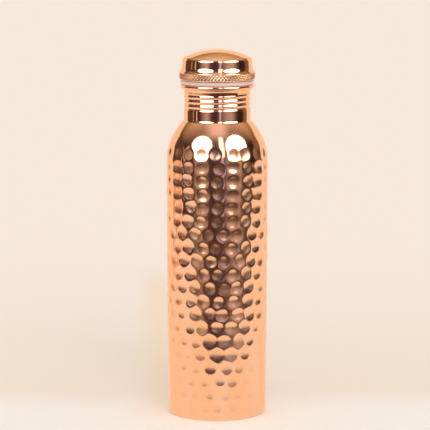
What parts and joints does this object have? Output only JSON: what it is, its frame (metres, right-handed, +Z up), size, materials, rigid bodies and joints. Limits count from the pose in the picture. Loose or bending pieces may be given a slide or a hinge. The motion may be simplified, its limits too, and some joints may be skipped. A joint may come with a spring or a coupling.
{
  "type": "water bottle",
  "caption": "Hammered copper water bottle with rounded shoulder, threaded neck and knurled screw lid on a silicone gasket.",
  "frame": {"origin": "middle of the base, level with the surface the bottle stands on", "axes": "+Z up along the bottle's axis, -Y towards the front; the thread is right-handed about +Z"},
  "size_m": [0.074, 0.074, 0.268],
  "materials": {
    "copper": "mirror polished and lacquered copper",
    "dull_copper": "plain drawn copper",
    "braze": "brazed fillet",
    "solder": "soldered fillet",
    "silicone": "translucent milky silicone"
  },
  "bodies": {
    "bottle": {"bottle_shell": "copper", "base_pan": "dull_copper", "base_braze_ring": "braze"},
    "gasket": {"lid_gasket": "silicone"},
    "lid": {"lid_cap": "copper", "lid_plug": "dull_copper", "lid_solder_ring": "solder"}
  },
  "joints": [
    {"name": "lid_lift", "type": "slide", "parent": "bottle", "child": "gasket", "axis": [0, 0, 1], "range_m": [0, 0.0211]},
    {"name": "lid_turn", "type": "hinge", "parent": "gasket", "child": "lid", "pos_m": [0, 0, 0.2456], "axis": [0, 0, 1], "range_deg": [0, 2160]}
  ],
  "couplings": [
    {"joint": "lid_lift", "follows": "lid_turn", "m_per_rad": 0.00055704}
  ]
}
